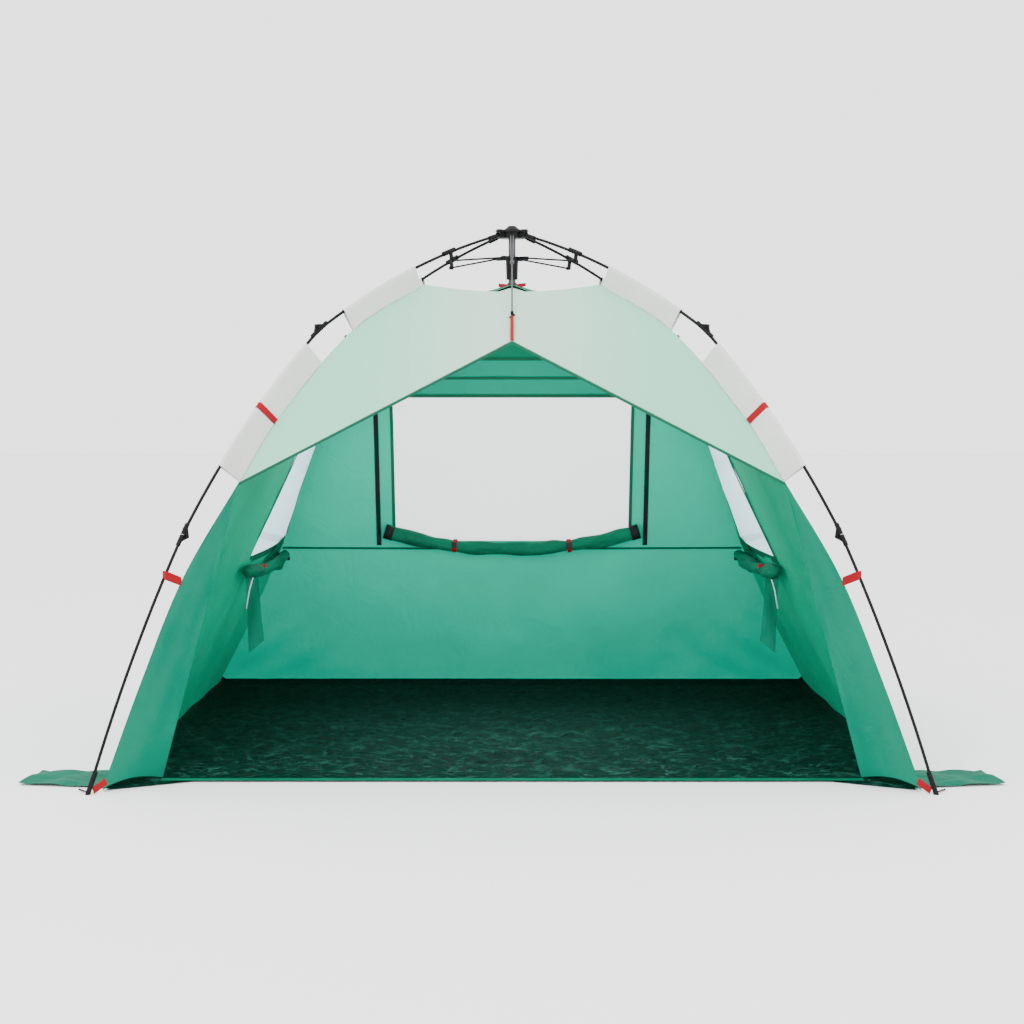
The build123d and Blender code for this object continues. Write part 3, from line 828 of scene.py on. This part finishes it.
def add_side(side, name):
    """A side wall with its window, hems and front wing. side is -1 for the left and 1 for the right."""
    body = f"{name}_wall"
    v0, v1 = SIDE_WINDOW_V
    columns = steps(0, v0, 14) + steps(v0, v1, 18)[1:] + steps(v1, 1, 5)[1:]
    rows = steps(ROOF_EDGE, SIDE_WINDOW_TOP, 14) + steps(SIDE_WINDOW_TOP, WINDOW_LOW, 17)[1:]
    rows += steps(WINDOW_LOW, GROUND_EDGE, 24)[1:]

    def shape(z, v):
        return side_wall(side, z, v)

    def in_window(i, j):
        z = (rows[i] + rows[i + 1]) / 2
        v = (columns[j] + columns[j + 1]) / 2
        return WINDOW_LOW < z < SIDE_WINDOW_TOP and v0 < v < v1

    def pulled(z, v):
        """Diagonal folds, deeper toward the ground, and fine ones all over."""
        near = max(0, 1 - z / 0.55)
        return 0.007 * near * sin(30 * v + 13 * z) * min(v * 5, 1) + 0.002 * sin(40 * v + 9 * z)

    def hem_shape(z, v):
        return tuple(Vector(shape(z, v)) + Vector((-side * HEM_IN, 0, 0)))

    wall = surface(
        f"{name}_wall_cloth", shape, rows, columns, "side", skip=in_window, depth=0.005, pull=pulled
    )
    pane = surface(
        f"{name}_window_mesh", shape, steps(SIDE_WINDOW_TOP, WINDOW_LOW, 17), steps(v0, v1, 15), "side_mesh"
    )
    hem = []
    high, low = SIDE_WINDOW_TOP + HEM_LAP, WINDOW_LOW - HEM_LAP
    for part, z_range, v_range in (
        ("top", (high, SIDE_WINDOW_TOP - HEM_LAP), (v0 - HEM_V, v1 + HEM_V)),
        ("low", (WINDOW_LOW + HEM_LAP, low), (v0 - HEM_V, v1 + HEM_V)),
        ("front", (high, low), (v0 - HEM_V, v0 + 0.004)),
        ("rear", (high, low), (v1 - 0.004, v1 + HEM_V)),
    ):
        edge = f"{name}_window_hem_{part}"
        hem.append(surface(edge, hem_shape, steps(*z_range, 14), steps(*v_range, 14), "hem"))
    front = surface(
        f"{name}_wing_cloth", lambda t, s: wing(side, t, s), steps(0.002, 1, 60), steps(0, 1, 21), "green",
        depth=0.005, size=5, pull=lambda t, s: 0.0008 * sin(13 * s + 5 * t) * t,
    )
    for piece in [wall, pane, front] + hem:
        attach(piece, body)
    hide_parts(f"{name}_wall")
    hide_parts(f"{name}_window")
    add_side_roll(side, name, body)


SIDE_ROLL_OUT = 0.031
TIE_AT = 8
TAIL_AT = 6
STRING_AT = 4
END_AT = 31


def add_side_roll(side, name, body):
    """The rolled-up window cover, its tie and toggle, and the loose end, string and corner fold.

    The names that end in AT are places on the roll's path, of 33 points from its front end.
    """
    v0, v1 = SIDE_WINDOW_V
    path = []
    for t in steps(0, 1, 33):
        v = v0 - 0.07 + (v1 - v0 + 0.04) * t
        z = 0.562 - 0.026 * sin(0.8 * pi * t)
        x, y, _ = side_wall(side, z + 0.01, v)
        path.append((x - side * SIDE_ROLL_OUT, y, z))

    def girth(t):
        tip = 0.007 * max(0, 1 - t / 0.05)
        return 0.0215 + 0.0035 * sin(11 * t) - 0.006 * max(0, 1 - abs(t - 0.26) / 0.07) - tip

    roll = tube(f"{name}_roll_cloth", path, girth, "roll", around=20, bumps=0.35)
    attach(roll, body)
    tie_path = [path[TIE_AT], lerp(path[TIE_AT], path[TIE_AT + 1], 0.45)]
    ring = tube(f"{name}_roll_tie", tie_path, 0.0222, "hem", around=20)
    x, y, z = path[TIE_AT]
    place = (x - side * 0.018, y - 0.006, z + 0.016)
    toggle = block(f"{name}_roll_toggle", place, (0.016, 0.020, 0.010), "red")
    x, y, z = path[END_AT]
    place = (x - side * 0.017, y - 0.004, z - 0.010)
    end = block(f"{name}_roll_end", place, (0.010, 0.018, 0.012), "moulding")
    for piece in (ring, toggle, end):
        attach(piece, body)
    start = Vector(path[TAIL_AT])

    def hanging(u, v):
        sway = 0.006 * sin(5 * u + 2 * v)
        width = 0.042 + 0.008 * u
        across = side * (0.032 - width * v)
        drop = (0.260 - 0.040 * v) * u
        return (start.x + across - side * 0.010 * u, start.y - 0.026 + sway, start.z - 0.012 - drop)

    tail = surface(
        f"{name}_roll_tail", hanging, steps(0, 1, 26), steps(0, 1, 9), "green", depth=0.005, size=14
    )
    attach(tail, body)

    def corner_fold(u, w):
        """The part of the cover that stays up in the window's rear corner."""
        v = v1 - 0.01 - 0.24 * u
        top = 0.652 - 0.088 * u**0.8
        x, y, z = side_wall(side, 0.553 + (top - 0.553) * w, v)
        return (x - side * (0.007 + 0.006 * sin(3 * pi * u) * (1 - u)), y, z)

    fold = surface(
        f"{name}_roll_corner", corner_fold, steps(0, 1, 20), steps(0, 1, 8), "roll", depth=0.003, size=12
    )
    attach(fold, body)
    x, y, z = path[STRING_AT]
    knot = Vector((x - side * 0.004, y - 0.030, z - 0.016))
    line = [knot, knot + Vector((side * 0.012, -0.01, -0.045)), knot + Vector((side * 0.022, -0.01, -0.105))]
    attach(tube(f"{name}_roll_string", line, 0.0022, "white", around=8), body)


def add_rear():
    """The rear wall in its seamed parts, the rear half of the roof, the window and the zip tapes."""
    body = "rear_wall"
    half = REAR_WINDOW_HALF
    bands = (
        ("rear_roof_cloth", steps(ROOF_EDGE, SEAM_TOP_Z, 12), "roof"),
        ("rear_top_cloth", steps(SEAM_TOP_Z, REAR_WINDOW_TOP, 8), "ceiling"),
        ("rear_low_cloth", steps(SEAM_LOW_Z, GROUND_EDGE, 24), "lining"),
    )
    pieces = []

    def pulled(z, v):
        """Diagonal folds that run up from the two lower corners."""
        near = max(0, 1 - z / 0.40) * max(0, (abs(v) - 0.55) / 0.45)
        return 0.016 * near * sin(34 * abs(v) + 30 * z)

    for name, rows, material in bands:
        columns = steps(-1, 1, 81)
        pieces.append(surface(name, rear_wall, rows, columns, material, depth=0.005, size=3.6, pull=pulled))
    rows = steps(REAR_WINDOW_TOP, WINDOW_LOW, 18) + [SEAM_LOW_Z]
    for name, sign in (("left", -1), ("right", 1)):
        def panel(z, s):
            return rear_wall(z, sign * (rear_share(half, z) * (1 - s) + s))

        columns = steps(0, 1, 18)
        pieces.append(surface(f"rear_{name}_cloth", panel, rows, columns, "lining", depth=0.0045, size=3.6))

    def middle(z, s):
        return rear_wall(z, rear_share(half * s, z))

    columns = steps(-1, 1, 41)
    pieces.append(surface("rear_sill_cloth", middle, [WINDOW_LOW, 0.575, SEAM_LOW_Z], columns, "lining"))
    pane = surface("rear_window_mesh", middle, steps(REAR_WINDOW_TOP, WINDOW_LOW, 18), columns, "mesh")

    def roof(u, v):
        return lerp(ridge(v), rear_wall(ROOF_EDGE, v), u)

    pieces.append(surface("rear_ridge_cloth", roof, steps(0, 1, 8), steps(-1, 1, 61), "roof", depth=0.003))

    def inner(z, x):
        p = Vector(rear_wall(z, rear_share(x, z)))
        return (p.x, p.y - 0.004, p.z)

    trims = []
    for label, x0, x1, material, low in (
        ("hem_left", -half - 0.011, -half + 0.001, "hem", WINDOW_LOW),
        ("hem_right", half - 0.001, half + 0.011, "hem", WINDOW_LOW),
        ("zip_left", -ZIP_X - 0.009, -ZIP_X + 0.008, "black_tape", ZIP_LOW),
        ("zip_right", ZIP_X - 0.008, ZIP_X + 0.009, "black_tape", ZIP_LOW),
    ):
        trims.append(surface(f"rear_{label}", inner, steps(ZIP_TOP, low, 18), steps(x0, x1, 3), material))
    for label, z, width, reach in (
        ("seam_low", SEAM_LOW_Z, 0.008, 1.0),
        ("seam_window", REAR_WINDOW_TOP, 0.012, 0.72),
        ("seam_mid", SEAM_MID_Z, 0.009, 1.0),
        ("seam_top", SEAM_TOP_Z, 0.009, 1.0),
    ):
        trims.append(surface(
            f"rear_{label}",
            lambda u, v: tuple(Vector(rear_wall(z + width * (0.5 - u), v)) - Vector((0, 0.0045, 0))),
            steps(0, 1, 3), steps(-reach * 0.99, reach * 0.99, 61), "hem",
        ))
    for piece in pieces + [pane] + trims:
        attach(piece, body)
    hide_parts("rear_wall")
    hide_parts("rear_window")


def add_rear_roll():
    """The rear window cover, rolled up along the sill, with its ties and buckles."""
    body = "rear_wall"
    low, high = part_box("rear_window_roll")
    depth = (low[1] + high[1]) / 2
    middle_z = low[2] + 0.028
    path = []
    for t in steps(-1, 1, 61):
        path.append((REAR_ROLL_HALF * t, depth, middle_z + 0.066 * abs(t) ** 2.2))

    def girth(t):
        """Thinner where the two ties pull it in."""
        pinch = min(abs(t - 0.28), abs(t - 0.72))
        return 0.0245 - 0.005 * max(0, 1 - pinch / 0.05) + 0.002 * sin(23 * t)

    roll = tube("rear_roll_cloth", path, girth, "roll", around=20, bumps=0.25)
    attach(roll, body)
    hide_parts("rear_window_roll")
    for label, at in (("left", 16), ("right", 43)):
        ring = tube(f"rear_roll_tie_{label}", path[at:at + 2], 0.0250, "red", around=20)
        attach(ring, body)
        x, y, z = path[at]
        place = (x + 0.006, y - 0.027, z + 0.004)
        attach(block(f"rear_roll_buckle_{label}", place, (0.018, 0.006, 0.022), "moulding"), body)
    for label, at in (("left", 0), ("right", 58)):
        end = tube(f"rear_roll_end_{label}", path[at:at + 3], 0.0275, "black_tape", around=20)
        attach(end, body)


def add_zip_sliders():
    for name in ("left", "right"):
        low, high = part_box(f"zip_slider_{name}")
        x = (low[0] + high[0]) / 2
        place = (x, high[1] - 0.0025, high[2] - 0.007)
        body = block(f"zip_slider_body_{name}", place, (0.009, 0.005, 0.014), "moulding")
        place = (x, low[1] + 0.001, low[2] + 0.014)
        tab = block(f"zip_tab_{name}", place, (0.006, 0.0016, 0.026), "moulding", bevel=0.0005)
        for piece in (body, tab):
            attach(piece, f"zip_slider_{name}")
        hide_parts(f"zip_slider_{name}")


# ---------------------------------------------------------------- groundsheet

def add_groundsheet(side, name):
    """Half of the groundsheet, its half of the door sill, and the flap outside its front corner."""
    body = f"groundsheet_{name}"

    def sheet(u, v):
        """u runs from the doorway to the rear wall, and v from the middle, which it overlaps, outward."""
        corner = 10 * (v - 0.9) if v > 0.9 else 0
        front_x = DOOR_BASE[0] + 0.135 * corner
        y = SHEET_FRONT_Y - 0.120 * corner
        y += (SHEET_REAR_Y - y) * u
        edge_x = abs(side_wall(1, 0.012, min(max((y + 0.974) / 1.926, 0), 1))[0])
        edge_x = min(edge_x, front_x + (edge_x - front_x) * min(u * 9, 1))
        x = -0.004 + (edge_x + 0.001) * v
        p = Vector((x * 0.7, y * 1.3, 0))
        inside = min(u * 14, (1 - u) * 14, (1 - v) * 12, 1)
        rise = 0.003
        for height, size in ((0.018, 8), (0.014, 19), (0.008, 43)):
            rise += height * abs(noise.noise(p * size))
        gathered = max(0, 1 - (edge_x - x) / 0.12)
        rise += 0.016 * abs(noise.noise(Vector((x * 22, y * 9, 2)))) * gathered
        tub = max(0, 1 - (edge_x - x) / TUB_WIDTH) + max(0, 1 - (SHEET_REAR_Y - y) / TUB_WIDTH)
        lap = 0.0012 if side > 0 else 0.0022
        return (side * x, y, lap + rise * inside + TUB_HEIGHT * tub * min(u * 6, 1))

    cloth = surface(f"groundsheet_cloth_{name}", sheet, steps(0, 1, 170), steps(0, 1, 110), "floor")

    def sill(u, v):
        x = 0.0005 + 1.0315 * v
        return (side * x, -0.842 + 0.022 * u, 0.0022 + 0.008 * sin(pi * min(u + 0.1, 1)))

    hem = surface(f"door_sill_{name}", sill, steps(0, 1, 5), steps(0, 1, 60), "roll")

    def flap(u, v):
        x, y = lerp(lerp(*FLAP_NEAR, v), lerp(*FLAP_FAR, v), u)
        crease = 0.006 * abs(noise.noise(Vector((x * 11, y * 19, 3)))) + 0.008 * abs(sin(7 * u + 3 * v)) * u
        return (side * x, y, 0.002 + crease)

    tab = surface(f"ground_flap_{name}", flap, steps(0, 1, 26), steps(0, 1, 16), "flap")
    for piece in (cloth, hem, tab):
        attach(piece, body)
    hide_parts(body)


# ---------------------------------------------------------------- hanger and roof tie

def add_hanger():
    """The cord from the hub, doubled down to a knot, its hook, and the loop to the doorway's peak."""
    top = Vector(CORD_TOP)
    hook = Vector(CORD_END)
    peak = Vector(PEAK)
    knot = top.lerp(hook, 0.36)
    run = (hook - top).normalized()
    strands = []
    for label, x in (("left", -1), ("right", 1)):
        path = [
            top + Vector((x * 0.0042, 0, 0)),
            top.lerp(knot, 0.5) + Vector((x * 0.0038, 0, -0.001)),
            knot + Vector((x * 0.001, 0, 0)),
        ]
        strands.append(tube(f"hanger_strand_{label}", path, 0.0027, "cord", around=10))
    strands.append(tube("hanger_line", [knot, knot.lerp(hook, 0.5), hook], CORD_R, "cord", around=10))
    path = [knot + run * d for d in (-0.007, -0.003, 0.003, 0.007)]
    strands.append(tube("hanger_knot", path, lambda t: 0.004 + 0.004 * sin(pi * t), "cord", around=14))
    away = (peak - hook).normalized()
    up = Vector((1, 0, 0)).cross(away)
    bend = [hook + away * 0.002]
    for k in range(13):
        turn = pi * 1.55 * k / 12
        along = 0.022 + HOOK_BEND_R * sin(turn - pi / 2)
        bend.append(hook + away * along + Vector((HOOK_BEND_R * cos(turn), 0, 0)))
    strands.append(tube("hanger_hook_bend", bend, 0.0028, "moulding", around=12))
    path = [hook - away * 0.008, hook, hook + away * 0.008]
    strands.append(tube("hanger_hook_eye", path, lambda t: 0.0045 + 0.001 * sin(pi * t), "moulding", around=14))
    loop = []
    for label, lift in (("over", 0.0016), ("under", -0.0016)):
        path = [
            hook + away * 0.020 + up * lift,
            hook.lerp(peak, 0.6) + up * lift * 1.3,
            peak - away * 0.004 + up * lift,
        ]
        loop.append(strap(f"hanger_loop_{label}", path, 0.011, (1, 0, 0), 0.0012, "red"))
    for piece in strands + loop:
        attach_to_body(piece, "hanger")
    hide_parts("hanger_cord")
    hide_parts("hanger_hook")


def add_roof_tie():
    """The red tape and buckle that hold the roof to the foot of the post, and the patch under them."""

    def patch_point(u, v):
        x, y, z = ridge(0.55 * v)
        return (x, y + 0.05 * u, z + 0.0135 - 0.011 * abs(u) - 0.004 * abs(v))

    patch = surface("roof_tie_patch", patch_point, steps(-1, 1, 9), steps(-1, 1, 31), "green")
    attach(patch, "rear_wall")
    path = [
        (-0.045, -0.006, 1.503), (-0.018, -0.019, 1.500), (0, -0.021, 1.499), (0.020, -0.019, 1.501),
        (0.046, -0.006, 1.505),
    ]
    tape = strap("roof_tie_tape", path, 0.012, (0, 0.3, 1), 0.0016, "red")
    buckle = block("roof_tie_buckle", (0.0, -0.024, 1.500), (0.018, 0.006, 0.012), "moulding")
    for piece in (tape, buckle):
        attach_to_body(piece, "root")


add_camera()
make_materials()
add_world()
add_floor()
# The cabin light stands for the daylight that the cloth lets into the tent
add_light("key", (-3.0, -4.5, 5.5), (0, 0, 0.7), size=3.0, power=260)
add_light("fill", (3.5, -5.0, 3.0), (0, 0, 0.7), size=3.0, power=60)
add_light("cabin", (0, -0.46, 0.74), (0, 0.9, 0.60), size=0.9, power=13)
dress_frame()
add_sleeves()
add_lower_straps()
add_front_canopy()
add_side(-1, "left")
add_side(1, "right")
add_rear()
add_rear_roll()
add_zip_sliders()
add_groundsheet(-1, "left")
add_groundsheet(1, "right")
add_hanger()
add_roof_tie()
